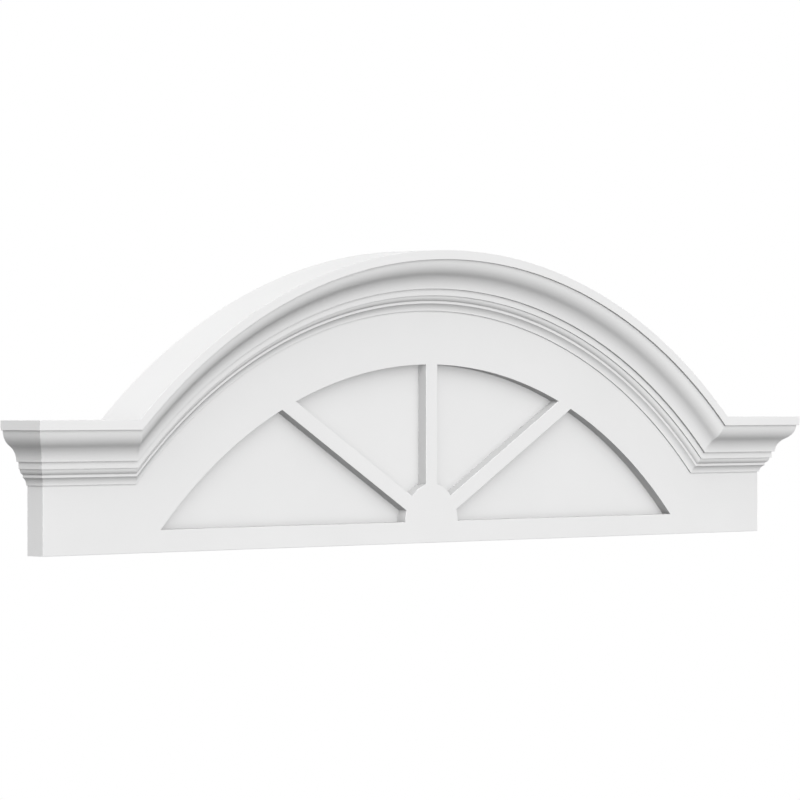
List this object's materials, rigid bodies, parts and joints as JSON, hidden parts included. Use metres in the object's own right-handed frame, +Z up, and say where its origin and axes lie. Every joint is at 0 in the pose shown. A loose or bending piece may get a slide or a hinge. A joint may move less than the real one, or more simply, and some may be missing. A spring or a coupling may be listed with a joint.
{
  "type": "segmental pediment",
  "caption": "White segmental-arch pediment for a door or window head: level ears, mitred crown moulding returned to the wall, and a recessed fan with spokes above a bottom rail.",
  "frame": {"origin": "middle of the flat back, on the wall, half way up and half way along", "axes": "+X along the pediment to the viewer's right, +Y into the wall, +Z up; the front faces -Y"},
  "size_m": [1.4366, 0.07, 0.3808],
  "materials": {
    "white_paint": "satin white, smooth, over filled joints"
  },
  "bodies": {
    "root": {"back_board": "white_paint", "face_board": "white_paint", "arch_crown": "white_paint", "left_crown": "white_paint", "right_crown": "white_paint", "left_return": "white_paint", "right_return": "white_paint"}
  },
  "joints": []
}
